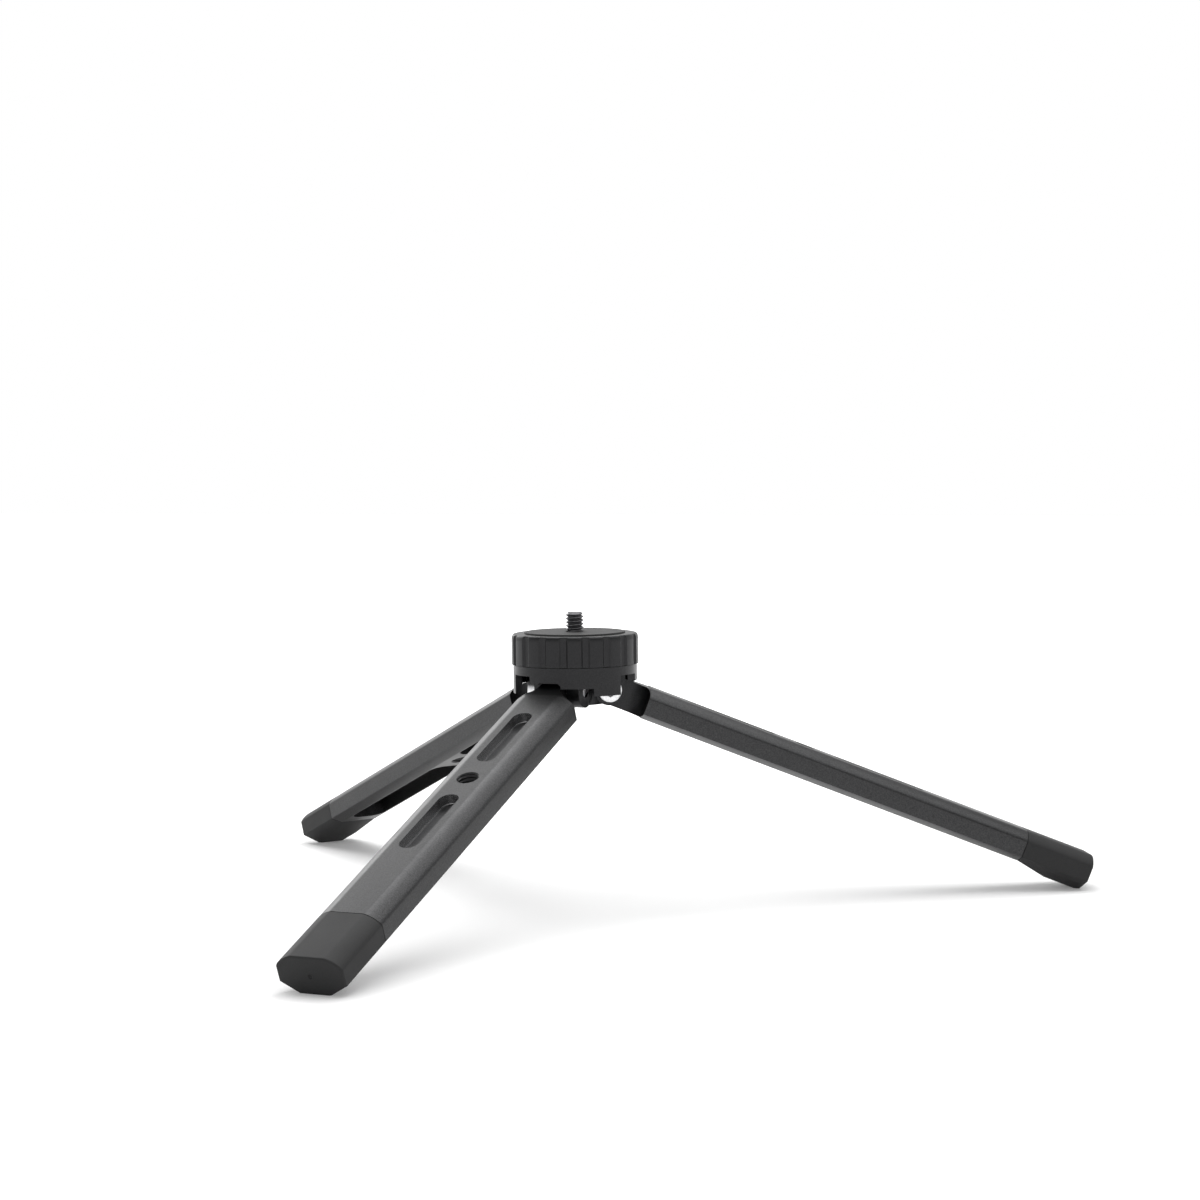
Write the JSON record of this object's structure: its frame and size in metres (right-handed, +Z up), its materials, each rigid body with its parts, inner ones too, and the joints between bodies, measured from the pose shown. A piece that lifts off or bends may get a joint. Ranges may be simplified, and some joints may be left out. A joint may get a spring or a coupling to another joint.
{
  "type": "mini tripod",
  "caption": "Low table tripod with folding pocketed legs, rubber feet, a round hinge hub and a turning top that carries a camera screw.",
  "frame": {"origin": "on the floor under the hub's axis, in the plane that the three feet stand on", "axes": "+Z straight up along the hub's axis; the front leg points along -Y, the right leg towards +X and +Y, the left leg towards -X and +Y"},
  "size_m": [0.3296, 0.2868, 0.1023],
  "materials": {
    "leg": "fine bead-blasted dark grey anodising",
    "hub": "satin black anodising",
    "ring": "satin black anodising",
    "pad": "matt black rubber",
    "foot": "matt dark grey rubber",
    "mount_screw": "dark plated steel",
    "hinge_steel": "bright steel"
  },
  "bodies": {
    "hub": {"hub_body": "hub", "hinge_screw_front": "hinge_steel", "hinge_screw_right": "hinge_steel", "hinge_screw_left": "hinge_steel"},
    "top": {"grip_ring": "ring", "top_pad": "pad", "mount_screw": "mount_screw", "spindle_clip": "hinge_steel"},
    "leg_front": {"leg_joint_front": "hub", "leg_bar_front": "leg", "foot_cap_front": "foot"},
    "leg_right": {"leg_joint_right": "hub", "leg_bar_right": "leg", "foot_cap_right": "foot"},
    "leg_left": {"leg_joint_left": "hub", "leg_bar_left": "leg", "foot_cap_left": "foot"}
  },
  "joints": [
    {"name": "top_turn", "type": "hinge", "parent": "hub", "child": "top", "pos_m": [0, 0, 0.09548], "axis": [0, 0, 1], "continuous": true},
    {"name": "leg_front_fold", "type": "hinge", "parent": "hub", "child": "leg_front", "pos_m": [0, -0.0114, 0.07523], "axis": [1, 0, 0], "range_deg": [0, 68.2]},
    {"name": "leg_right_fold", "type": "hinge", "parent": "hub", "child": "leg_right", "pos_m": [0.00987, 0.0057, 0.07523], "axis": [-0.5, 0.866, 0], "range_deg": [0, 68.2]},
    {"name": "leg_left_fold", "type": "hinge", "parent": "hub", "child": "leg_left", "pos_m": [-0.00987, 0.0057, 0.07523], "axis": [-0.5, -0.866, 0], "range_deg": [0, 68.2]}
  ]
}
